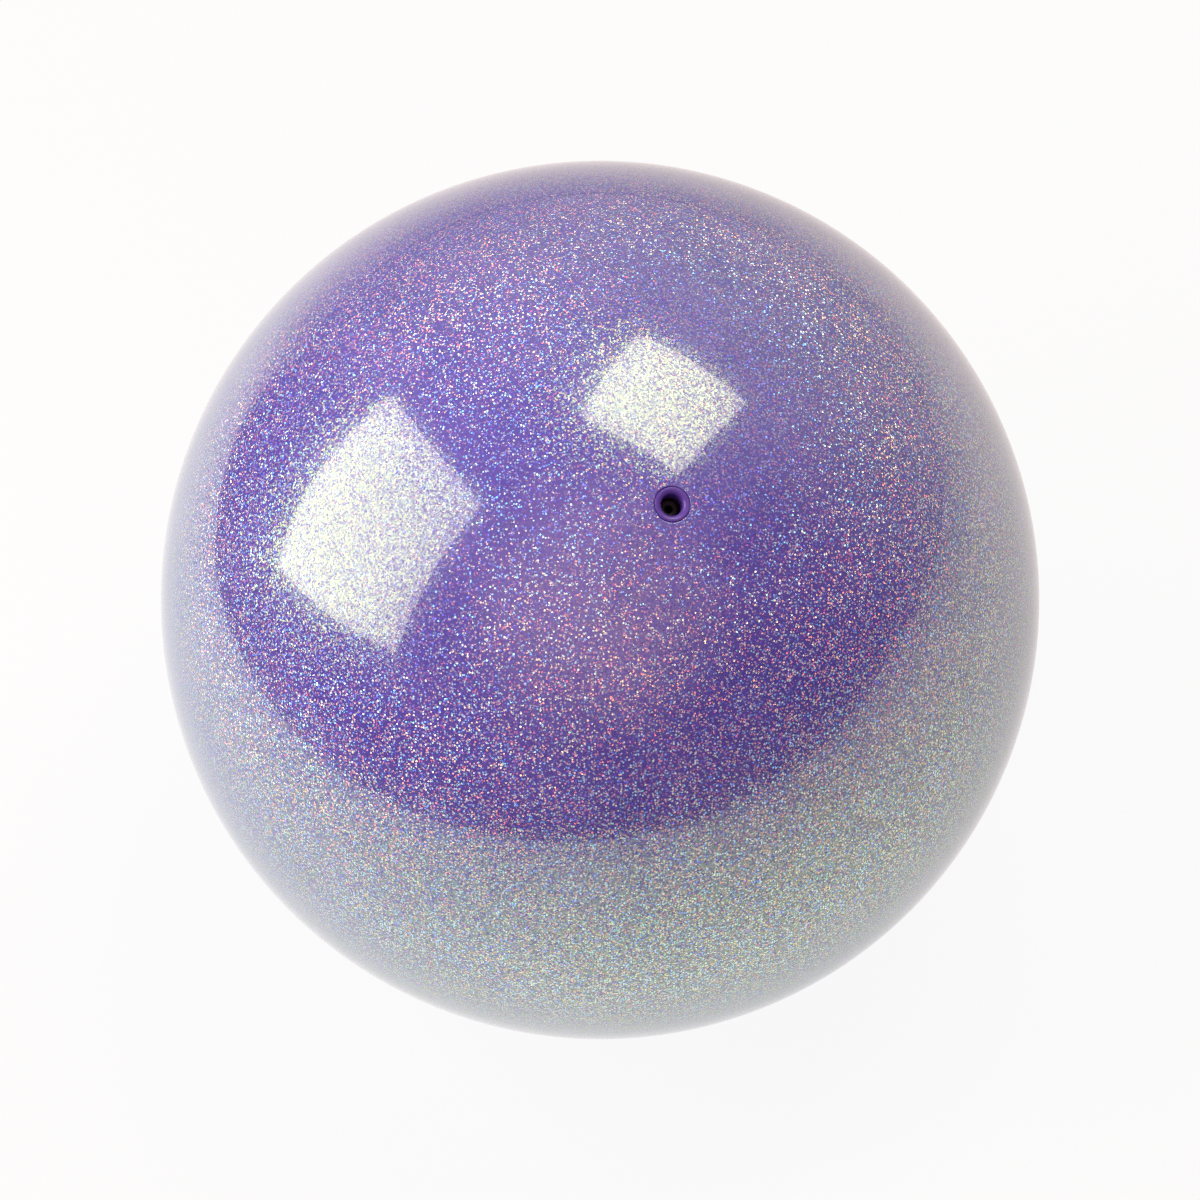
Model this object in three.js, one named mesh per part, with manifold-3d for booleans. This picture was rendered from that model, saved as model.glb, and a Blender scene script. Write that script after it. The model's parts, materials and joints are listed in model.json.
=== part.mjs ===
// A rhythmic gymnastics ball: an inflated violet ball with a clear glitter skin and a plugged valve.
// Units are millimetres and +Z is up. The origin is the middle of the patch that the ball rests on.

import * as THREE from "three";
import { mergeVertices } from "three/addons/utils/BufferGeometryUtils.js";
import Module from "manifold-3d";

// Ball wall
const BALL_DIAMETER = 185; // inflated, over the glitter skin
const SKIN_WALL = 0.9; // clear skin that carries the flakes
const BODY_WALL = 2.4; // violet wall that holds the air
const BOND_GAP = 0.15; // between the skin and the body
const REST_PATCH_DIAMETER = 18.4; // pressed flat by the ball's own weight

// Place of the valve on the ball
const VALVE_ELEVATION = 60; // degrees above the floor
const VALVE_TURN = 19; // degrees from the front, -Y, towards +X

// Valve mouth in the wall
const BORE_DIAMETER = 4.3; // the plug's bore, through the wall and down the seat
const MOUTH_ROUND = 0.9; // rounded edge of the bore at the ball's surface
const LIP_LAND = 0.45; // bare violet ring round that edge, which stands in the skin's opening
const LIP_CLEARANCE = 0.3; // from the lip to the edge of the skin

// Valve seat, a rubber collar bonded to the inside of the wall
const SEAT_GAP = 0.3; // adhesive between the flange and the body
const FLANGE_DIAMETER = 30;
const FLANGE_THICKNESS = 2.3; // on the valve's axis, thinner at the edge
const FLANGE_EDGE_ROUND = 0.4;
const SLEEVE_DIAMETER = 10.4;
const SLEEVE_FILLET = 2; // where the sleeve grows out of the flange
const SLEEVE_END_ROUND = 1.2;
const SLEEVE_END_WALL = 2.4; // below the plug
const OUTLET_DIAMETER = 2; // lets the air through the end wall

// Plug, a ringed rubber stopper
const PLUG_LENGTH = 12;
const PLUG_RECESS = 4.5; // from the ball's surface down to the plug's face
const PLUG_CLEARANCE = 0.12; // from the sealing rings to the bore
const PLUG_END_GAP = 0.3; // from the plug's nose to the end wall
const RING_COUNT = 3;
const RING_HEIGHT = 0.2; // rings above the stem
const RING_WIDTH = 1.2;
const FACE_ROUND = 0.35; // edge of the plug's face
const NOSE_LENGTH = 2.4; // tapered end that finds the bore
const NOSE_DIAMETER = 2.4;
const DIMPLE_DIAMETER = 1.5; // hole in the face, for the hook that pulls the plug
const DIMPLE_DEPTH = 3.5;

// Fineness of the facets
const BALL_SIDES = 48;
const BALL_ARC_STEPS = 24; // from the rest patch to the top
const VALVE_SIDES = 32;
const VALVE_ARC_STEPS = 4; // on each small round
const CUT_MARGIN = 2; // by which a cut runs past what it cuts

// Sizes that follow from those above
const BALL_RADIUS = BALL_DIAMETER / 2;
const PATCH_RADIUS = REST_PATCH_DIAMETER / 2;
const CENTRE_HEIGHT = Math.sqrt(BALL_RADIUS ** 2 - PATCH_RADIUS ** 2);
const BODY_INSET = SKIN_WALL + BOND_GAP;
const HOLLOW_INSET = BODY_INSET + BODY_WALL;
const BORE_RADIUS = BORE_DIAMETER / 2;
const LIP_RADIUS = BORE_RADIUS + MOUTH_ROUND + LIP_LAND;
const STEM_RADIUS = BORE_RADIUS - PLUG_CLEARANCE - RING_HEIGHT;

// Heights on the valve's axis, counted outwards from the ball's centre
const PLUG_FACE = BALL_RADIUS - PLUG_RECESS;
const PLUG_NOSE = PLUG_FACE - PLUG_LENGTH;
const BORE_FLOOR = PLUG_NOSE - PLUG_END_GAP;
const SLEEVE_END = BORE_FLOOR - SLEEVE_END_WALL;
const FLANGE_UNDERSIDE = BALL_RADIUS - HOLLOW_INSET - SEAT_GAP - FLANGE_THICKNESS;

const wasm = await Module();
wasm.setup();

// Turns an outline round the Z axis. X of the outline is the radius, Y is the height.
function revolve(outline, arcSteps, sides) {
  const points = outline.getPoints(arcSteps / 2);
  return new THREE.LatheGeometry(points, sides).rotateX(Math.PI / 2);
}

// A closed geometry as a solid that can be joined and cut.
function solid(geometry) {
  const bare = geometry.clone();
  bare.deleteAttribute("normal");
  bare.deleteAttribute("uv");
  const merged = mergeVertices(bare);
  const corners = merged.index.array;
  const triangles = [];
  for (let i = 0; i < corners.length; i += 3) {
    const [a, b, c] = corners.slice(i, i + 3);
    const isFlatAtThePole = a === b || b === c || c === a;
    if (!isFlatAtThePole) triangles.push(a, b, c);
  }
  const mesh = new wasm.Mesh({
    numProp: 3,
    vertProperties: merged.attributes.position.array,
    triVerts: new Uint32Array(triangles),
  });
  return new wasm.Manifold(mesh);
}

// A solid as a geometry that a mesh can show.
function geometryOf(made) {
  const { vertProperties, triVerts } = made.getMesh();
  const geometry = new THREE.BufferGeometry();
  geometry.setAttribute("position", new THREE.BufferAttribute(vertProperties, 3));
  geometry.setIndex(new THREE.BufferAttribute(triVerts, 1));
  const faceted = geometry.toNonIndexed();
  faceted.computeVertexNormals();
  return faceted;
}

function namedMesh(name, geometry, material) {
  const mesh = new THREE.Mesh(geometry, material);
  mesh.name = name;
  return mesh;
}

// The frame of the valve: its Z axis runs from the ball's centre out through the mouth.
const valve = new THREE.Group();
valve.position.set(0, 0, CENTRE_HEIGHT);
valve.rotation.set(
  THREE.MathUtils.degToRad(90 - VALVE_ELEVATION),
  0,
  THREE.MathUtils.degToRad(VALVE_TURN),
  "ZXY",
);
valve.updateMatrix();

// A shape turned round the valve's axis, as a solid in the ball's own frame.
function valveSolid(outline) {
  return solid(revolve(outline, VALVE_ARC_STEPS, VALVE_SIDES).applyMatrix4(valve.matrix));
}

// A plain round bar on the valve's axis.
function valveBar(radius, low, high) {
  const outline = new THREE.Path();
  outline.moveTo(0, low);
  outline.lineTo(radius, low);
  outline.lineTo(radius, high);
  outline.lineTo(0, high);
  return valveSolid(outline);
}

// The full ball, a given depth below its surface. The wall bends flat where the ball rests.
function ballSolid(inset) {
  const radius = BALL_RADIUS - inset;
  const patchEdge = Math.asin((inset - CENTRE_HEIGHT) / radius);
  const outline = new THREE.Path();
  outline.moveTo(0, inset);
  outline.lineTo(radius * Math.cos(patchEdge), inset);
  outline.absarc(0, CENTRE_HEIGHT, radius, patchEdge, Math.PI / 2);
  return solid(revolve(outline, BALL_ARC_STEPS, BALL_SIDES));
}

// The bore through the wall, with the rounded edge of its mouth.
function mouthCut() {
  const outline = new THREE.Path();
  outline.moveTo(0, BALL_RADIUS - HOLLOW_INSET - CUT_MARGIN);
  outline.lineTo(BORE_RADIUS, BALL_RADIUS - HOLLOW_INSET - CUT_MARGIN);
  outline.absarc(
    BORE_RADIUS + MOUTH_ROUND,
    BALL_RADIUS - MOUTH_ROUND,
    MOUTH_ROUND,
    Math.PI,
    Math.PI / 2,
    true,
  );
  outline.lineTo(BORE_RADIUS + MOUTH_ROUND, BALL_RADIUS + CUT_MARGIN);
  outline.lineTo(0, BALL_RADIUS + CUT_MARGIN);
  return valveSolid(outline);
}

// The clear outer skin, open around the valve's lip.
function glitterSkin() {
  const opening = valveBar(
    LIP_RADIUS + LIP_CLEARANCE,
    BALL_RADIUS - SKIN_WALL - CUT_MARGIN,
    BALL_RADIUS + CUT_MARGIN,
  );
  return ballSolid(0).subtract(ballSolid(SKIN_WALL)).subtract(opening);
}

// The violet wall, with a lip that comes up through the skin and the bore inside it.
function ballBody() {
  const wall = ballSolid(BODY_INSET).subtract(ballSolid(HOLLOW_INSET));
  const lipRoot = BALL_RADIUS - BODY_INSET - BODY_WALL / 2;
  const lip = valveBar(LIP_RADIUS, lipRoot, BALL_RADIUS + CUT_MARGIN).intersect(ballSolid(0));
  return wall.add(lip).subtract(mouthCut());
}

// The collar inside the wall: a thin flange that follows the wall, and a sleeve for the plug.
function valveSeat() {
  const flangeRadius = FLANGE_DIAMETER / 2;
  const sleeveRadius = SLEEVE_DIAMETER / 2;
  const outletRadius = OUTLET_DIAMETER / 2;
  const outline = new THREE.Path();
  outline.moveTo(outletRadius, SLEEVE_END);
  outline.lineTo(sleeveRadius - SLEEVE_END_ROUND, SLEEVE_END);
  outline.absarc(
    sleeveRadius - SLEEVE_END_ROUND,
    SLEEVE_END + SLEEVE_END_ROUND,
    SLEEVE_END_ROUND,
    -Math.PI / 2,
    0,
  );
  outline.absarc(
    sleeveRadius + SLEEVE_FILLET,
    FLANGE_UNDERSIDE - SLEEVE_FILLET,
    SLEEVE_FILLET,
    Math.PI,
    Math.PI / 2,
    true,
  );
  outline.absarc(
    flangeRadius - FLANGE_EDGE_ROUND,
    FLANGE_UNDERSIDE + FLANGE_EDGE_ROUND,
    FLANGE_EDGE_ROUND,
    -Math.PI / 2,
    0,
  );
  outline.lineTo(flangeRadius, BALL_RADIUS);
  outline.lineTo(BORE_RADIUS, BALL_RADIUS);
  outline.lineTo(BORE_RADIUS, BORE_FLOOR);
  outline.lineTo(outletRadius, BORE_FLOOR);
  outline.lineTo(outletRadius, SLEEVE_END);
  return valveSolid(outline).intersect(ballSolid(HOLLOW_INSET + SEAT_GAP));
}

// The stopper, in the valve's own frame: a tapered nose, sealing rings and a dimple in its face.
function plugGeometry() {
  const dimpleRadius = DIMPLE_DIAMETER / 2;
  const ringsLow = PLUG_NOSE + NOSE_LENGTH;
  const ringsHigh = PLUG_FACE - FACE_ROUND;
  const ringPitch = (ringsHigh - ringsLow) / RING_COUNT;
  const outline = new THREE.Path();
  outline.moveTo(0, PLUG_NOSE);
  outline.lineTo(NOSE_DIAMETER / 2, PLUG_NOSE);
  outline.lineTo(STEM_RADIUS, ringsLow);
  for (let i = 0; i < RING_COUNT; i += 1) {
    const middle = ringsLow + ringPitch * (i + 0.5);
    outline.lineTo(STEM_RADIUS, middle - RING_WIDTH / 2);
    outline.quadraticCurveTo(
      STEM_RADIUS + 2 * RING_HEIGHT,
      middle,
      STEM_RADIUS,
      middle + RING_WIDTH / 2,
    );
  }
  outline.absarc(STEM_RADIUS - FACE_ROUND, ringsHigh, FACE_ROUND, 0, Math.PI / 2);
  outline.lineTo(dimpleRadius, PLUG_FACE);
  outline.lineTo(dimpleRadius, PLUG_FACE - DIMPLE_DEPTH);
  outline.lineTo(0, PLUG_FACE - DIMPLE_DEPTH);
  return revolve(outline, 2 * VALVE_ARC_STEPS, VALVE_SIDES);
}

const glitter = new THREE.MeshStandardMaterial({
  color: 0x9d88c0,
  roughness: 0.15,
  metalness: 0.35,
});
const violet = new THREE.MeshStandardMaterial({ color: 0x5a46a0, roughness: 0.4, metalness: 0 });
const seatRubber = new THREE.MeshStandardMaterial({ color: 0x2b2833, roughness: 0.7, metalness: 0 });
const plugRubber = new THREE.MeshStandardMaterial({ color: 0x101014, roughness: 0.6, metalness: 0 });

const ball = new THREE.Group();
ball.add(namedMesh("glitter_skin", geometryOf(glitterSkin()), glitter));
ball.add(namedMesh("ball_body", geometryOf(ballBody()), violet));
ball.add(namedMesh("valve_seat", geometryOf(valveSeat()), seatRubber));
valve.add(namedMesh("valve_plug", plugGeometry(), plugRubber));
ball.add(valve);

export default ball;
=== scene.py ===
"""A rhythmic gymnastics ball: glitter skin, moulded wall and valve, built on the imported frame."""

import json
import logging
import math
from dataclasses import dataclass, field
from enum import Enum
from itertools import pairwise

import bpy
from mathutils import Matrix, Vector


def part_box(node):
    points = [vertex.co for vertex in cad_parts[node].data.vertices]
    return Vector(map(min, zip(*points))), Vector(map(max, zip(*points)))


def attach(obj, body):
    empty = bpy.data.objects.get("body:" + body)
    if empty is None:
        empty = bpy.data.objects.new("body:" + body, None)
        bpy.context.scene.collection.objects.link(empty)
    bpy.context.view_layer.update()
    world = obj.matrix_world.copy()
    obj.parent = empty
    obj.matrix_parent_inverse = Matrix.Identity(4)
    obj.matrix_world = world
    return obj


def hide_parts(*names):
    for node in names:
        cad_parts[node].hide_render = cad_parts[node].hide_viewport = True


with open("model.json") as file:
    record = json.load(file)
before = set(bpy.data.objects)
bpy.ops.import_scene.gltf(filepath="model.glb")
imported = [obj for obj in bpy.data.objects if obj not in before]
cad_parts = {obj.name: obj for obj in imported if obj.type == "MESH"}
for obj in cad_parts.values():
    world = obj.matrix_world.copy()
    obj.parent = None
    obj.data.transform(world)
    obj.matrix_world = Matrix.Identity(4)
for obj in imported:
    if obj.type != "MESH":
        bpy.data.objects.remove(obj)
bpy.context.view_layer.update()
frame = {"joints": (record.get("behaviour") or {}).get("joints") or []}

MM = 0.001
BALL_RADIUS = 92.5 * MM
PLUG_RECESS = 4.5 * MM
MERGE_DISTANCE = 0.002 * MM
CUT_THRESHOLD = 0.001 * MM
SMOOTH_ANGLE = math.radians(35)
SENSOR_WIDTH = 36.0
# A Mix node's sockets for colours go by number, because those for numbers have the same names.
MIX_SHARE, MIX_FIRST, MIX_SECOND, MIX_RESULT = 0, 6, 7, 2

log = logging.getLogger("gymnastics_ball")

Point = tuple[float, float]
Place = tuple[float, float, float]


class Body(str, Enum):
    """The bodies of the frame that pieces ride on."""

    BALL = "ball"
    PLUG = "valve_plug"


class Slot(str, Enum):
    """The record's material slots."""

    SKIN = "glitter_skin"
    WALL = "violet_body"
    SEAT = "seat_rubber"
    PLUG = "plug_rubber"


class Lamp(str, Enum):
    """The soft lamps of the studio."""

    SIDE = "side_softbox"
    OVERHEAD = "overhead_softbox"


def linear(hex_colour: str) -> tuple[float, float, float, float]:
    """Turns an sRGB hex colour into linear red, green, blue and alpha.

    Args:
        hex_colour: The colour as "#rrggbb".

    Returns:
        The linear colour with full alpha.
    """
    levels = [int(hex_colour[i : i + 2], 16) / 255 for i in (1, 3, 5)]
    red, green, blue = (
        v / 12.92 if v <= 0.04045 else ((v + 0.055) / 1.055) ** 2.4 for v in levels
    )
    return (red, green, blue, 1.0)


def add_node(
    tree: bpy.types.NodeTree,
    kind: str,
    inputs: dict[str | int, object] | None = None,
    stops: list[tuple[float, object]] | None = None,
    **settings: object,
) -> bpy.types.Node:
    """Adds a node with its settings and links.

    Args:
        tree: The node tree that gets the node.
        kind: The node's type.
        inputs: For each input, a value or the socket that feeds it.
        stops: The places and colours of a colour ramp.
        settings: The node's own properties.

    Returns:
        The new node.
    """
    node = tree.nodes.new(kind)
    for name, value in settings.items():
        setattr(node, name, value)
    for name, value in (inputs or {}).items():
        socket = node.inputs[name]
        if isinstance(value, bpy.types.NodeSocket):
            tree.links.new(value, socket)
        else:
            socket.default_value = value
    if stops:
        ramp = node.color_ramp.elements
        while len(ramp) < len(stops):
            ramp.new(1.0)
        for element, (place, colour) in zip(ramp, stops):
            element.position = place
            element.color = colour
    return node


def new_material(name: str) -> tuple[bpy.types.Material, bpy.types.NodeTree]:
    """Makes an empty node material.

    Args:
        name: The material's name.

    Returns:
        The material and its node tree.
    """
    material = bpy.data.materials.new(name)
    material.use_nodes = True
    material.node_tree.nodes.clear()
    return material, material.node_tree


def arc(centre: Point, radius: float, start: float, end: float, steps: int) -> list[Point]:
    """Gives points along an arc of an outline.

    Args:
        centre: The arc's centre as distance from the axis and height along it.
        radius: The arc's radius.
        start: The first angle in degrees, from straight away from the axis towards its top.
        end: The last angle in degrees.
        steps: How many steps the arc has.

    Returns:
        The points, both ends among them.
    """
    turns = [math.radians(start + (end - start) * i / steps) for i in range(steps + 1)]
    return [
        (centre[0] + radius * math.cos(t), centre[1] + radius * math.sin(t)) for t in turns
    ]


def globe_line(radius: float, opening: float, steps: int, crowding: float) -> list[Point]:
    """Gives points along a globe's half circle, from an opening on its axis to the far pole.

    Args:
        radius: The globe's radius.
        opening: The opening's radius.
        steps: How many steps the line has.
        crowding: More than 1 makes the steps at the opening shorter.

    Returns:
        The points, from the opening to the pole.
    """
    first = math.asin(opening / radius)
    turns = [first + (math.pi - first) * (i / steps) ** crowding for i in range(steps + 1)]
    points = [(radius * math.sin(t), radius * math.cos(t)) for t in turns]
    points[-1] = (0.0, -radius)
    return points


def draw_line(name: str, places: list[Vector]) -> bpy.types.Object:
    """Draws a line of edges from one vertex.

    Args:
        name: The new object's name.
        places: The line's points.

    Returns:
        The object, in edit mode with all of it selected.
    """
    bpy.ops.object.select_all(action="DESELECT")
    bpy.ops.mesh.primitive_plane_add(size=MM, location=places[0])
    piece = bpy.context.object
    piece.name = piece.data.name = name
    bpy.ops.object.transform_apply(location=True, rotation=True, scale=True)
    bpy.ops.object.mode_set(mode="EDIT")
    bpy.ops.mesh.select_all(action="SELECT")
    bpy.ops.mesh.merge(type="CENTER")
    for here, there in pairwise(places):
        bpy.ops.mesh.extrude_vertices_move(TRANSFORM_OT_translate={"value": there - here})
    bpy.ops.mesh.select_all(action="SELECT")
    return piece


@dataclass
class ValveAxis:
    """The valve's axis: the ball's centre, the way out of the mouth and one way across."""

    centre: Vector
    out: Vector
    across: Vector = field(init=False)

    def __post_init__(self) -> None:
        """Finds the direction across, level with the floor."""
        self.across = self.out.cross(Vector((0, 0, 1))).normalized()

    def place(self, point: Point) -> Vector:
        """Gives an outline's point its place in the frame.

        Args:
            point: Distance from the axis and height along it from the ball's centre.

        Returns:
            The place.
        """
        return self.centre + self.across * point[0] + self.out * point[1]

    def turn(self, name: str, outline: list[Point], steps: int) -> bpy.types.Object:
        """Draws an outline and spins it into a closed piece.

        Args:
            name: The piece's name.
            outline: The outline's points, which start and end on the axis or close on themselves.
            steps: How many steps the full turn has.

        Returns:
            The piece, in edit mode with all of it selected.
        """
        piece = draw_line(name, [self.place(p) for p in outline])
        bpy.ops.mesh.spin(steps=steps, angle=math.tau, center=self.centre, axis=self.out)
        bpy.ops.mesh.select_all(action="SELECT")
        bpy.ops.mesh.remove_doubles(threshold=MERGE_DISTANCE)
        bpy.ops.mesh.normals_make_consistent(inside=False)
        return piece


def press_flat(height: float) -> None:
    """Cuts the piece in edit mode flat at its resting height and closes the cut.

    Args:
        height: The height of the flat above the floor.
    """
    bpy.ops.mesh.bisect(
        plane_co=(0, 0, height),
        plane_no=(0, 0, 1),
        use_fill=True,
        clear_inner=True,
        threshold=CUT_THRESHOLD,
    )


def close_piece(
    piece: bpy.types.Object, material: bpy.types.Material, body: Body, node: str
) -> None:
    """Leaves edit mode, smooths a piece, dresses it and puts it on its body.

    Args:
        piece: The piece in edit mode.
        material: Its material.
        body: The body that it rides on.
        node: The CAD node that it stands for.
    """
    bpy.ops.object.mode_set(mode="OBJECT")
    bpy.ops.object.shade_smooth_by_angle(angle=SMOOTH_ANGLE)
    piece.data.materials.append(material)
    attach(piece, body.value)
    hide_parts(node)
    log.info("%s: %d faces on %s", piece.name, len(piece.data.polygons), body.value)


@dataclass(frozen=True)
class GlitterVinyl:
    """Clear cast vinyl full of see-through holographic flakes over a violet ground.

    A flake lets the violet through until it meets a lamp, and then it sparks. Its grating sends
    each colour out at its own slant, so the tint goes with the tilt: blue flakes lean least and
    red ones most, which rings each lamp with sparks from blue through white to orange. What lies
    flat is a grainy half mirror of a faint green, which closes up as it is seen at a slant, and
    a few of its grains lean out and fray the lamps' edges. Over it all is a hard clear gloss.

    The lengths are in metres, the tilts and slants in degrees, and flake_radius is in spacings.
    """

    ground: str = "#7d6dde"
    ground_shade: str = "#7161d6"
    mottle_size: float = 14 * MM
    mottle_ends: tuple[float, float] = (0.35, 0.65)
    # Real flakes are finer. The flakes, and the grain between them, are drawn as coarse as they
    # need to be for single sparks to show in the render.
    flake_spacing: float = 0.48 * MM
    flake_radius: float = 0.42
    least_tilt: float = 13.0
    most_tilt: float = 41.0
    tilt_power: float = 0.6
    heading_spread: float = 0.6
    spark_roughness: float = 0.17
    foil_gloss: tuple[Point, ...] = (
        (0.0, 0.5),
        (20.0, 0.58),
        (45.0, 0.85),
        (62.0, 0.85),
        (80.0, 0.0),
    )
    tints: tuple[tuple[float, str], ...] = (
        (13.0, "#5c50f0"),
        (19.0, "#5a88ff"),
        (24.0, "#74e0ff"),
        (28.0, "#c8ffe2"),
        (31.0, "#f8ffd4"),
        (34.0, "#ffe298"),
        (37.0, "#ffb268"),
        (41.0, "#ff6868"),
    )
    grain_spacing: float = 0.3 * MM
    flat_tilt: float = 12.0
    flat_power: float = 3.0
    flat_roughness: float = 0.14
    flat_ior: float = 3.0
    flat_tint: str = "#d6ff9c"
    least_level: float = 0.03
    flat_gloss: tuple[Point, ...] = ((25.0, 0.5), (35.0, 0.6), (50.0, 0.9), (62.0, 1.0))
    coat_roughness: float = 0.03
    coat_ior: float = 1.5
    swell_size: float = 9 * MM
    swell_depth: float = 0.05 * MM
    swell_strength: float = 0.12
    veil: str = "#ffcfc4"
    veil_weight: float = 0.06
    veil_roughness: float = 0.35
    bare_radius: float = 3.1 * MM
    full_radius: float = 4.1 * MM

    def share(self, tilt: float) -> float:
        """Gives the draw, from 0 to 1, at which flakes have this tilt."""
        along = (tilt - self.least_tilt) / (self.most_tilt - self.least_tilt)
        return along ** (1 / self.tilt_power)

    def material(self, mouth: Vector) -> bpy.types.Material:
        """Builds the material.

        Args:
            mouth: The middle of the valve's mouth, round which the flakes thin out.

        Returns:
            The material.
        """
        material, tree = new_material("glitter_vinyl")
        place = add_node(tree, "ShaderNodeTexCoord").outputs["Object"]
        normal = add_node(tree, "ShaderNodeNewGeometry").outputs["Normal"]
        from_mouth = add_node(
            tree, "ShaderNodeVectorMath", {0: place, 1: mouth}, operation="DISTANCE"
        )
        cover = add_node(
            tree,
            "ShaderNodeMapRange",
            {
                "Value": from_mouth.outputs["Value"],
                "From Min": self.bare_radius,
                "From Max": self.full_radius,
            },
        ).outputs[0]
        slant = add_node(tree, "ShaderNodeLayerWeight", {"Blend": 0.5}).outputs["Facing"]
        flat_gloss, foil_gloss = (
            add_node(
                tree,
                "ShaderNodeValToRGB",
                {"Fac": slant},
                stops=[
                    (1 - math.cos(math.radians(angle)), (level, level, level, 1.0))
                    for angle, level in gloss
                ],
            ).outputs[0]
            for gloss in (self.flat_gloss, self.foil_gloss)
        )
        ground = self.ground_shader(tree, place, normal, cover, flat_gloss)
        spark, flake = self.spark_shader(tree, place, normal, cover)
        strength = add_node(
            tree, "ShaderNodeMath", {0: flake, 1: foil_gloss}, operation="MULTIPLY"
        )
        lit = add_node(tree, "ShaderNodeAddShader", {0: ground, 1: spark})
        surface = add_node(
            tree,
            "ShaderNodeMixShader",
            {"Fac": strength.outputs[0], 1: ground, 2: lit.outputs[0]},
        )
        add_node(tree, "ShaderNodeOutputMaterial", {"Surface": surface.outputs[0]})
        return material

    def spark_shader(
        self,
        tree: bpy.types.NodeTree,
        place: bpy.types.NodeSocket,
        normal: bpy.types.NodeSocket,
        cover: bpy.types.NodeSocket,
    ) -> tuple[bpy.types.NodeSocket, bpy.types.NodeSocket]:
        """Builds the round flakes, each with a tilt and the tint that goes with it.

        Args:
            tree: The material's node tree.
            place: The Object coordinates.
            normal: The surface's own normal.
            cover: How full of flakes the vinyl is, from 0 to 1.

        Returns:
            The flakes' gloss, and where there is a flake.
        """
        cells = add_node(
            tree, "ShaderNodeTexVoronoi", {"Vector": place, "Scale": 1 / self.flake_spacing}
        ).outputs
        radius = add_node(
            tree, "ShaderNodeMath", {0: cover, 1: self.flake_radius}, operation="MULTIPLY"
        )
        flake = add_node(
            tree,
            "ShaderNodeMath",
            {0: cells["Distance"], 1: radius.outputs[0]},
            operation="LESS_THAN",
        )
        draw = add_node(tree, "ShaderNodeSeparateColor", {"Color": cells["Color"]}).outputs[0]
        curve = add_node(
            tree, "ShaderNodeMath", {0: draw, 1: self.tilt_power}, operation="POWER"
        )
        lean = add_node(
            tree,
            "ShaderNodeMapRange",
            {"Value": curve.outputs[0], "To Min": self.least_tilt, "To Max": self.most_tilt},
        )
        # A flake's heading is its own, and its grating spreads it from point to point.
        heading = add_node(tree, "ShaderNodeTexWhiteNoise", {"Vector": cells["Color"]})
        grating = add_node(tree, "ShaderNodeTexWhiteNoise", {"Vector": place})
        spread = add_node(
            tree,
            "ShaderNodeVectorMath",
            {
                0: grating.outputs["Color"],
                1: (self.heading_spread,) * 3,
                2: heading.outputs["Color"],
            },
            operation="MULTIPLY_ADD",
        )
        middle = 0.5 + 0.5 * self.heading_spread
        facing = self.leaning(tree, normal, spread.outputs[0], middle, lean.outputs[0])
        tint = add_node(
            tree,
            "ShaderNodeValToRGB",
            {"Fac": draw},
            stops=[(self.share(tilt), linear(colour)) for tilt, colour in self.tints],
        )
        spark = add_node(
            tree,
            "ShaderNodeBsdfGlossy",
            {"Color": tint.outputs[0], "Roughness": self.spark_roughness, "Normal": facing},
        )
        return spark.outputs[0], flake.outputs[0]

    def ground_shader(
        self,
        tree: bpy.types.NodeTree,
        place: bpy.types.NodeSocket,
        normal: bpy.types.NodeSocket,
        cover: bpy.types.NodeSocket,
        flat_gloss: bpy.types.NodeSocket,
    ) -> bpy.types.NodeSocket:
        """Builds the violet ground, the half mirror of flat grains on it and the clear gloss.

        Args:
            tree: The material's node tree.
            place: The Object coordinates.
            normal: The surface's own normal.
            cover: How full of flakes the vinyl is, from 0 to 1.
            flat_gloss: The most that a flat grain mirrors at this slant.

        Returns:
            The ground's shader.
        """
        grain = add_node(
            tree, "ShaderNodeTexVoronoi", {"Vector": place, "Scale": 1 / self.grain_spacing}
        ).outputs["Color"]
        draw = add_node(tree, "ShaderNodeSeparateColor", {"Color": grain}).outputs
        curve = add_node(
            tree, "ShaderNodeMath", {0: draw[1], 1: self.flat_power}, operation="POWER"
        )
        lean = add_node(
            tree,
            "ShaderNodeMath",
            {0: curve.outputs[0], 1: self.flat_tilt},
            operation="MULTIPLY",
        )
        flat = self.leaning(tree, normal, grain, 0.5, lean.outputs[0])
        most_level = add_node(
            tree, "ShaderNodeMath", {0: cover, 1: flat_gloss}, operation="MULTIPLY"
        )
        level = add_node(
            tree,
            "ShaderNodeMapRange",
            {"Value": draw[2], "To Min": self.least_level, "To Max": most_level.outputs[0]},
        )
        mottle = add_node(
            tree,
            "ShaderNodeTexNoise",
            {"Vector": place, "Scale": 1 / self.mottle_size, "Detail": 3.0, "Roughness": 0.55},
        )
        shades = (self.ground_shade, self.ground)
        colour = add_node(
            tree,
            "ShaderNodeValToRGB",
            {"Fac": mottle.outputs[0]},
            stops=[(end, linear(shade)) for end, shade in zip(self.mottle_ends, shades)],
        )
        swell = add_node(
            tree,
            "ShaderNodeTexNoise",
            {"Vector": place, "Scale": 1 / self.swell_size, "Detail": 2.0, "Roughness": 0.5},
        )
        gloss = add_node(
            tree,
            "ShaderNodeBump",
            {
                "Strength": self.swell_strength,
                "Distance": self.swell_depth,
                "Height": swell.outputs[0],
            },
        )
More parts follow.
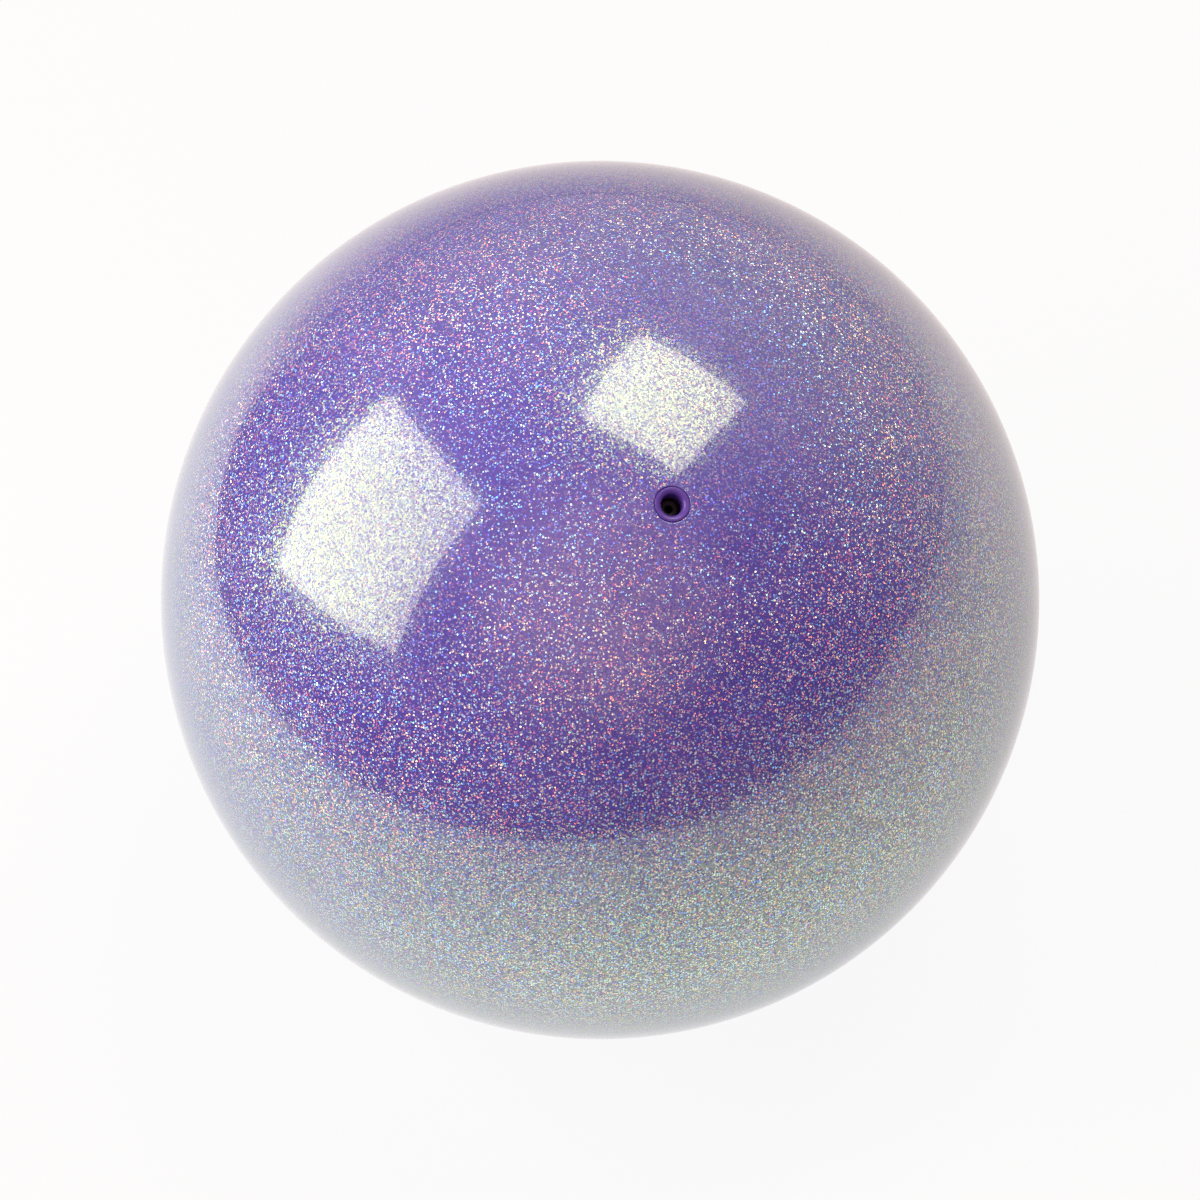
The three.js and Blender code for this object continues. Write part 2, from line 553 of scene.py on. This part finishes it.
        ground = add_node(
            tree,
            "ShaderNodeBsdfPrincipled",
            {
                "Base Color": colour.outputs[0],
                "Roughness": self.flat_roughness,
                "IOR": self.flat_ior,
                "Specular IOR Level": level.outputs[0],
                "Specular Tint": linear(self.flat_tint),
                "Normal": flat,
                "Coat Weight": 1.0,
                "Coat Roughness": self.coat_roughness,
                "Coat IOR": self.coat_ior,
                "Coat Normal": gloss.outputs[0],
                "Sheen Weight": self.veil_weight,
                "Sheen Roughness": self.veil_roughness,
                "Sheen Tint": linear(self.veil),
            },
        )
        return ground.outputs[0]

    def leaning(
        self,
        tree: bpy.types.NodeTree,
        normal: bpy.types.NodeSocket,
        drawn: bpy.types.NodeSocket,
        middle: float,
        tilt: bpy.types.NodeSocket,
    ) -> bpy.types.NodeSocket:
        """Tilts the surface's normal.

        Args:
            tree: The material's node tree.
            normal: The surface's own normal.
            drawn: A point drawn in a cube, which gives the way of the tilt.
            middle: Where the middle of that cube is on each axis.
            tilt: The tilt.

        Returns:
            The tilted normal.
        """
        radians = add_node(tree, "ShaderNodeMath", {0: tilt}, operation="RADIANS")
        slope = add_node(tree, "ShaderNodeMath", {0: radians.outputs[0]}, operation="TANGENT")
        centred = add_node(
            tree, "ShaderNodeVectorMath", {0: drawn, 1: (middle,) * 3}, operation="SUBTRACT"
        )
        across = add_node(
            tree,
            "ShaderNodeVectorMath",
            {0: centred.outputs[0], 1: normal},
            operation="CROSS_PRODUCT",
        )
        unit = add_node(
            tree, "ShaderNodeVectorMath", {0: across.outputs[0]}, operation="NORMALIZE"
        )
        offset = add_node(
            tree,
            "ShaderNodeVectorMath",
            {0: unit.outputs[0], "Scale": slope.outputs[0]},
            operation="SCALE",
        )
        summed = add_node(
            tree, "ShaderNodeVectorMath", {0: normal, 1: offset.outputs[0]}, operation="ADD"
        )
        tilted = add_node(
            tree, "ShaderNodeVectorMath", {0: summed.outputs[0]}, operation="NORMALIZE"
        )
        return tilted.outputs[0]


@dataclass(frozen=True)
class Moulded:
    """A moulded surface: one colour that clouds over into another, and fine pores."""

    name: str
    colours: tuple[str, str]
    colour_ends: tuple[float, float] = (0.3, 0.7)
    cloud_size: float = 6 * MM
    cloud_detail: float = 4.0
    roughness: float = 0.3
    roughness_spread: float = 0.06
    pore_size: float = 0.35 * MM
    pore_depth: float = 0.03 * MM
    pore_strength: float = 0.25
    ior: float = 1.53

    def material(self) -> bpy.types.Material:
        """Builds the material.

        Returns:
            The material.
        """
        material, tree = new_material(self.name)
        place = add_node(tree, "ShaderNodeTexCoord").outputs["Object"]
        clouds = add_node(
            tree,
            "ShaderNodeTexNoise",
            {"Vector": place, "Scale": 1 / self.cloud_size, "Detail": self.cloud_detail},
        ).outputs[0]
        colour = add_node(
            tree,
            "ShaderNodeValToRGB",
            {"Fac": clouds},
            stops=[(end, linear(colour)) for end, colour in zip(self.colour_ends, self.colours)],
        )
        roughness = add_node(
            tree,
            "ShaderNodeMapRange",
            {
                "Value": clouds,
                "To Min": self.roughness - self.roughness_spread,
                "To Max": self.roughness + self.roughness_spread,
            },
        )
        pores = add_node(
            tree,
            "ShaderNodeTexNoise",
            {"Vector": place, "Scale": 1 / self.pore_size, "Detail": 2.0},
        )
        bump = add_node(
            tree,
            "ShaderNodeBump",
            {
                "Strength": self.pore_strength,
                "Distance": self.pore_depth,
                "Height": pores.outputs[0],
            },
        )
        shader = add_node(
            tree,
            "ShaderNodeBsdfPrincipled",
            {
                "Base Color": colour.outputs[0],
                "Roughness": roughness.outputs[0],
                "IOR": self.ior,
                "Normal": bump.outputs[0],
            },
        )
        add_node(tree, "ShaderNodeOutputMaterial", {"Surface": shader.outputs[0]})
        return material


@dataclass(frozen=True)
class MouldedVinyl(Moulded):
    """Soft violet vinyl, moulded: one colour with faint clouds in it and a satin surface."""

    name: str = "moulded_vinyl"
    colours: tuple[str, str] = ("#6245b0", "#7253c0")
    roughness: float = 0.27


@dataclass(frozen=True)
class Rubber(Moulded):
    """Moulded rubber: near black and dull, with a bloom of paler dust and a fine tooth."""

    colour_ends: tuple[float, float] = (0.45, 0.75)
    cloud_size: float = 2.5 * MM
    cloud_detail: float = 5.0
    roughness: float = 0.6
    roughness_spread: float = 0.08
    pore_size: float = 0.25 * MM
    pore_strength: float = 0.3
    ior: float = 1.52


@dataclass
class Ball:
    """The hollow ball: the glitter skin and the moulded wall under it, with the valve's lip."""

    axis: ValveAxis
    radius: float
    skin_wall: float = 0.9 * MM
    bond_gap: float = 0.15 * MM
    body_wall: float = 2.4 * MM
    opening_radius: float = 3.58 * MM
    opening_round: float = 0.25 * MM
    opening_step: float = 0.02 * MM
    lip_radius: float = 3.5 * MM
    lip_round: float = 0.2 * MM
    lip_sink: float = 0.02 * MM
    bore_radius: float = 2.15 * MM
    mouth_round: float = 0.9 * MM
    globe_steps: int = 110
    globe_crowding: float = 1.5
    inner_steps: int = 48
    inner_crowding: float = 1.2
    opening_steps: int = 5
    mouth_steps: int = 10
    lip_steps: int = 4
    spin_steps: int = 160

    @property
    def hollow_radius(self) -> float:
        """Gives the radius of the air space."""
        return self.radius - self.skin_wall - self.bond_gap - self.body_wall

    def skin_outline(self) -> list[Point]:
        """Draws the skin, from the far pole inside to the far pole outside.

        Returns:
            The outline.
        """
        inside = globe_line(
            self.radius - self.skin_wall,
            self.opening_radius,
            self.inner_steps,
            self.inner_crowding,
        )
        edge = self.opening_radius + self.opening_round
        height = math.sqrt(self.radius**2 - edge**2) - self.opening_round
        rim = arc((edge, height), self.opening_round, 180, 90, self.opening_steps)
        outside = globe_line(
            self.radius, edge + self.opening_step, self.globe_steps, self.globe_crowding
        )
        return inside[::-1] + rim + outside

    def body_outline(self) -> list[Point]:
        """Draws the wall, from the far pole inside to the far pole outside.

        Returns:
            The outline.
        """
        outer = self.radius - self.skin_wall - self.bond_gap
        inside = globe_line(
            outer - self.body_wall, self.bore_radius, self.inner_steps, self.inner_crowding
        )
        top = math.sqrt(self.radius**2 - self.lip_radius**2) - self.lip_sink
        mouth = arc(
            (self.bore_radius + self.mouth_round, top - self.mouth_round),
            self.mouth_round,
            180,
            90,
            self.mouth_steps,
        )
        lip = arc(
            (self.lip_radius - self.lip_round, top - self.lip_round),
            self.lip_round,
            90,
            0,
            self.lip_steps,
        )
        outside = globe_line(outer, self.lip_radius, self.globe_steps, self.globe_crowding)
        return inside[::-1] + mouth + lip + outside

    def build(self, skin: bpy.types.Material, wall: bpy.types.Material) -> None:
        """Builds and dresses both pieces.

        Args:
            skin: The glitter skin's material.
            wall: The moulded wall's material.
        """
        piece = self.axis.turn("ball_glitter_skin", self.skin_outline(), self.spin_steps)
        press_flat(0.0)
        close_piece(piece, skin, Body.BALL, "glitter_skin")
        piece = self.axis.turn("ball_moulded_wall", self.body_outline(), self.spin_steps)
        press_flat(self.skin_wall + self.bond_gap)
        close_piece(piece, wall, Body.BALL, "ball_body")


@dataclass
class Valve:
    """The valve: a rubber seat bonded inside the wall, and the plug that closes it."""

    axis: ValveAxis
    hollow_radius: float
    face_height: float
    flange_radius: float = 15.0 * MM
    flange_thickness: float = 2.3 * MM
    flange_swell: float = 0.35 * MM
    flange_round: float = 0.6 * MM
    seat_gap: float = 0.3 * MM
    sleeve_radius: float = 5.2 * MM
    sleeve_fillet: float = 2.0 * MM
    sleeve_end_round: float = 1.2 * MM
    sleeve_end_wall: float = 2.4 * MM
    bore_radius: float = 2.15 * MM
    outlet_radius: float = 1.0 * MM
    plug_length: float = 12.0 * MM
    plug_clearance: float = 0.12 * MM
    plug_end_gap: float = 0.3 * MM
    ring_count: int = 3
    ring_height: float = 0.2 * MM
    ring_width: float = 1.2 * MM
    face_round: float = 0.35 * MM
    nose_length: float = 2.4 * MM
    nose_radius: float = 1.2 * MM
    nose_round: float = 0.5 * MM
    nose_slant: float = 20.0
    dimple_radius: float = 0.75 * MM
    dimple_depth: float = 3.5 * MM
    dimple_round: float = 0.2 * MM
    # The dimple's bottom, as shares of its radius and heights above its depth.
    dimple_bottom: tuple[Point, ...] = ((0.0, 0.0), (0.6, 0.1 * MM), (1.0, 0.5 * MM))
    top_steps: int = 12
    edge_steps: int = 5
    fillet_steps: int = 7
    foot_steps: int = 6
    dimple_steps: int = 3
    ring_steps: int = 8
    nose_steps: int = 6
    spin_steps: int = 72

    def seat_outline(self) -> list[Point]:
        """Draws the seat, from the bore's top round the flange and back up the bore.

        Returns:
            The closed outline.
        """
        top_radius = self.hollow_radius - self.seat_gap
        nose = self.face_height - self.plug_length
        floor = nose - self.plug_end_gap
        end = floor - self.sleeve_end_wall
        start = math.degrees(math.acos(self.bore_radius / top_radius))
        rim = math.degrees(math.acos(self.flange_radius / top_radius))
        top = arc((0.0, 0.0), top_radius, start, rim, self.top_steps)
        underside = top_radius - self.flange_thickness - self.flange_swell
        edge = arc(
            (self.flange_radius - self.flange_round, underside + self.flange_round),
            self.flange_round,
            0,
            -90,
            self.edge_steps,
        )
        fillet = arc(
            (self.sleeve_radius + self.sleeve_fillet, underside - self.sleeve_fillet),
            self.sleeve_fillet,
            90,
            180,
            self.fillet_steps,
        )
        foot = arc(
            (self.sleeve_radius - self.sleeve_end_round, end + self.sleeve_end_round),
            self.sleeve_end_round,
            0,
            -90,
            self.foot_steps,
        )
        outlet = [
            (self.outlet_radius, end),
            (self.outlet_radius, floor),
            (self.bore_radius, floor),
        ]
        return top + edge + fillet + foot + outlet + [top[0]]

    def plug_outline(self) -> list[Point]:
        """Draws the plug, from the dimple's bottom round to the tip of the nose.

        Returns:
            The outline.
        """
        full = self.bore_radius - self.plug_clearance
        stem = full - self.ring_height
        face = self.face_height
        nose = face - self.plug_length
        points = [
            (self.dimple_radius * share, face - self.dimple_depth + height)
            for share, height in self.dimple_bottom
        ]
        points += arc(
            (self.dimple_radius + self.dimple_round, face - self.dimple_round),
            self.dimple_round,
            180,
            90,
            self.dimple_steps,
        )
        points += arc(
            (full - self.face_round, face - self.face_round),
            self.face_round,
            90,
            0,
            self.edge_steps,
        )
        spacing = (self.plug_length - self.nose_length) / (self.ring_count + 1)
        for ring in range(1, self.ring_count + 1):
            ring_top = face - spacing * ring + self.ring_width / 2
            for step in range(self.ring_steps + 1):
                along = step / self.ring_steps
                swell = self.ring_height * math.sin(math.pi * along) ** 2
                points.append((stem + swell, ring_top - self.ring_width * along))
        points.append((stem, nose + self.nose_length))
        points += arc(
            (self.nose_radius - self.nose_round, nose + self.nose_round),
            self.nose_round,
            self.nose_slant,
            -90,
            self.nose_steps,
        )
        points.append((0.0, nose))
        return points

    def build(self, seat: bpy.types.Material, plug: bpy.types.Material) -> None:
        """Builds and dresses both pieces.

        Args:
            seat: The seat's material.
            plug: The plug's material.
        """
        piece = self.axis.turn("valve_seat_collar", self.seat_outline(), self.spin_steps)
        close_piece(piece, seat, Body.BALL, "valve_seat")
        piece = self.axis.turn("valve_stopper", self.plug_outline(), self.spin_steps)
        close_piece(piece, plug, Body.PLUG, "valve_plug")


@dataclass(frozen=True)
class Softbox:
    """A square soft lamp: its place, the way of one edge, its side and its radiance."""

    place: Place
    edge: Place
    side: float
    radiance: float


@dataclass(frozen=True)
class SoftWall:
    """A soft pale part of the room: the way to its middle, the cosine of its rim, its colour."""

    middle: Place
    rim: float
    colour: str


@dataclass
class Studio:
    """A white sheet on a grey floor, two square soft lamps and the camera of the photograph.

    The gloss mirrors the lamps, the dim room and the sheet, which glows for it as a painted pool of
    light. The camera sees floor and room pale.
    """

    target: Vector
    camera_elevation: float = 49.45
    camera_turn: float = 1.3
    camera_distance: float = 1.1
    lens: float = 156.2
    lamp_colour: str = "#fff1e8"
    lamps: dict[Lamp, Softbox] = field(
        default_factory=lambda: {
            Lamp.SIDE: Softbox((-0.643, -0.095, 0.515), (0.29, -0.878, 0.38), 0.6, 4.1),
            Lamp.OVERHEAD: Softbox((0.253, 0.199, 1.124), (0.869, -0.482, -0.11), 0.53, 4.7),
        }
    )
    room_colour: str = "#242428"
    backdrop_colour: str = "#f8f8f8"
    walls: tuple[SoftWall, ...] = (
        SoftWall((0.0, -0.65, 0.76), 0.75, "#e4b0b2"),
        SoftWall((0.3, 0.81, 0.5), 0.15, "#b4a6a6"),
    )
    floor_colour: str = "#56565a"
    floor_size: float = 40.0
    floor_drop: float = 4 * MM
    sheet_colour: str = "#f4f4f4"
    sheet_roughness: float = 0.4
    paper_glow: float = 0.92
    far_glow: float = 0.2
    glow_centre: Place = (-0.45, -0.3, 0.0)
    glow_reach: float = 0.4
    glow_end: float = 0.95
    sheet_outline: tuple[Point, ...] = (
        (-8.0, 8.0),
        (-0.9, 0.85),
        (-0.55, 0.4),
        (-0.45, 0.12),
        (-0.44, -0.05),
        (-0.40, -0.20),
        (-0.28, -0.36),
        (-0.16, -0.47),
        (0.02, -0.57),
        (0.25, -0.64),
        (0.50, -0.70),
        (8.0, -2.4),
        (8.0, 8.0),
    )

    def build_camera(self) -> None:
        """Puts the camera where the photograph was taken from."""
        up, turn = math.radians(self.camera_elevation), math.radians(self.camera_turn)
        level = math.cos(up)
        back = Vector((math.sin(turn) * level, -math.cos(turn) * level, math.sin(up)))
        bpy.ops.object.camera_add(
            location=self.target + back * self.camera_distance,
            rotation=back.to_track_quat("Z", "Y").to_euler(),
        )
        camera = bpy.context.object
        camera.name = "camera"
        camera.data.lens = self.lens
        camera.data.sensor_width = SENSOR_WIDTH
        bpy.context.scene.camera = camera

    def build_lamps(self) -> None:
        """Hangs the soft lamps, each facing the ball."""
        for lamp, box in self.lamps.items():
            back = (Vector(box.place) - self.target).normalized()
            edge = Vector(box.edge)
            along = (edge - back * back.dot(edge)).normalized()
            turn = Matrix((along, back.cross(along), back)).transposed()
            bpy.ops.object.light_add(type="AREA", location=box.place, rotation=turn.to_euler())
            light = bpy.context.object
            light.name = lamp.value
            light.data.color = linear(self.lamp_colour)[:3]
            light.data.shape = "SQUARE"
            light.data.size = box.side
            light.data.energy = box.radiance * math.pi * box.side * box.side

    def pale_material(
        self, name: str, colour: str, roughness: float, mirrored: bool
    ) -> bpy.types.Material:
        """Builds a dull surface that the camera sees evenly pale, with the ball's soft shadow.

        Args:
            name: The material's name.
            colour: The surface's own colour.
            roughness: How dull it is.
            mirrored: Whether the ball's gloss sees a painted pool of light on it, fading from
                glow_centre.

        Returns:
            The material.
        """
        material, tree = new_material(name)
        rays = add_node(tree, "ShaderNodeLightPath").outputs
        share = add_node(
            tree,
            "ShaderNodeMath",
            {0: rays["Is Camera Ray"], 1: self.paper_glow},
            operation="MULTIPLY",
        )
        # For the ball's gloss the surface glows as a painted pool of light, brightest round
        # glow_centre and fading to far_glow by glow_end.
        if mirrored:
            bounced = add_node(
                tree,
                "ShaderNodeMath",
                {0: rays["Is Glossy Ray"], 1: rays["Is Transmission Ray"]},
                operation="MAXIMUM",
            )
            place = add_node(tree, "ShaderNodeTexCoord").outputs["Object"]
            away = add_node(
                tree, "ShaderNodeVectorMath", {0: place, 1: self.glow_centre}, operation="DISTANCE"
            )
            near = add_node(
                tree,
                "ShaderNodeMapRange",
                {
                    "Value": away.outputs["Value"],
                    "From Min": self.glow_reach,
                    "From Max": self.glow_end,
                    "To Min": self.paper_glow,
                    "To Max": self.paper_glow * self.far_glow,
                },
                interpolation_type="SMOOTHSTEP",
            )
            share = add_node(
                tree,
                "ShaderNodeMath",
                {0: bounced.outputs[0], 1: near.outputs[0], 2: share.outputs[0]},
                operation="MULTIPLY_ADD",
            )
        dull = add_node(
            tree, "ShaderNodeBsdfDiffuse", {"Color": linear(colour), "Roughness": roughness}
        )
        glow = add_node(tree, "ShaderNodeEmission", {"Strength": 1.0})
        mixed = add_node(
            tree,
            "ShaderNodeMixShader",
            {"Fac": share.outputs[0], 1: dull.outputs[0], 2: glow.outputs[0]},
        )
        add_node(tree, "ShaderNodeOutputMaterial", {"Surface": mixed.outputs[0]})
        return material

    def build_floor(self) -> None:
        """Lays the white sheet on the grey floor."""
        bpy.ops.object.select_all(action="DESELECT")
        bpy.ops.mesh.primitive_plane_add(
            size=self.floor_size, location=(0, 0, -self.floor_drop)
        )
        floor = bpy.context.object
        floor.name = "studio_floor"
        floor.data.materials.append(
            self.pale_material("studio_floor_paint", self.floor_colour, 0.0, mirrored=False)
        )
        sheet = draw_line("paper_sheet", [Vector((*p, 0)) for p in self.sheet_outline])
        bpy.ops.mesh.edge_face_add()
        bpy.ops.mesh.select_all(action="SELECT")
        bpy.ops.mesh.normals_make_consistent(inside=False)
        bpy.ops.object.mode_set(mode="OBJECT")
        sheet.data.materials.append(
            self.pale_material(
                "white_paper", self.sheet_colour, self.sheet_roughness, mirrored=True
            )
        )

    def build_room(self) -> None:
        """Makes the room dim, with soft walls before and behind the ball, and a pale backdrop."""
        scene = bpy.context.scene
        scene.world = bpy.data.worlds.new("studio_room")
        scene.world.use_nodes = True
        tree = scene.world.node_tree
        tree.nodes.clear()
        way = add_node(tree, "ShaderNodeTexCoord").outputs["Generated"]
        colour: object = linear(self.room_colour)
        for wall in self.walls:
            facing = add_node(
                tree, "ShaderNodeVectorMath", {0: way, 1: wall.middle}, operation="DOT_PRODUCT"
            )
            share = add_node(
                tree,
                "ShaderNodeMapRange",
                {"Value": facing.outputs["Value"], "From Min": wall.rim, "From Max": 1.0},
                interpolation_type="SMOOTHSTEP",
            )
            mixed = add_node(
                tree,
                "ShaderNodeMix",
                {
                    MIX_SHARE: share.outputs[0],
                    MIX_FIRST: colour,
                    MIX_SECOND: linear(wall.colour),
                },
                data_type="RGBA",
            )
            colour = mixed.outputs[MIX_RESULT]
        rays = add_node(tree, "ShaderNodeLightPath").outputs
        shown = add_node(
            tree,
            "ShaderNodeMix",
            {
                MIX_SHARE: rays["Is Camera Ray"],
                MIX_FIRST: colour,
                MIX_SECOND: linear(self.backdrop_colour),
            },
            data_type="RGBA",
        )
        glow = add_node(tree, "ShaderNodeBackground", {"Color": shown.outputs[MIX_RESULT]})
        add_node(tree, "ShaderNodeOutputWorld", {"Surface": glow.outputs[0]})
        scene.view_settings.view_transform = "Standard"

    def build(self) -> None:
        """Builds the camera, the lamps, the floor and the room."""
        self.build_camera()
        self.build_lamps()
        self.build_floor()
        self.build_room()


def main() -> None:
    """Builds the ball, the valve and the studio."""
    logging.basicConfig(level=logging.INFO, format="%(name)s: %(message)s")
    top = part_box("glitter_skin")[1].z
    centre = Vector((0, 0, top - BALL_RADIUS))
    axis = ValveAxis(centre, Vector(frame["joints"][0]["axis"]).normalized())
    ball = Ball(axis, BALL_RADIUS)
    ball.build(
        GlitterVinyl().material(mouth=axis.place((0.0, BALL_RADIUS))),
        MouldedVinyl().material(),
    )
    valve = Valve(axis, ball.hollow_radius, face_height=BALL_RADIUS - PLUG_RECESS)
    valve.build(
        Rubber("seat_rubber", ("#2b2833", "#37343d")).material(),
        Rubber("plug_rubber", ("#101014", "#1d1d20"), roughness=0.55).material(),
    )
    Studio(centre).build()


if __name__ == "__main__":
    main()
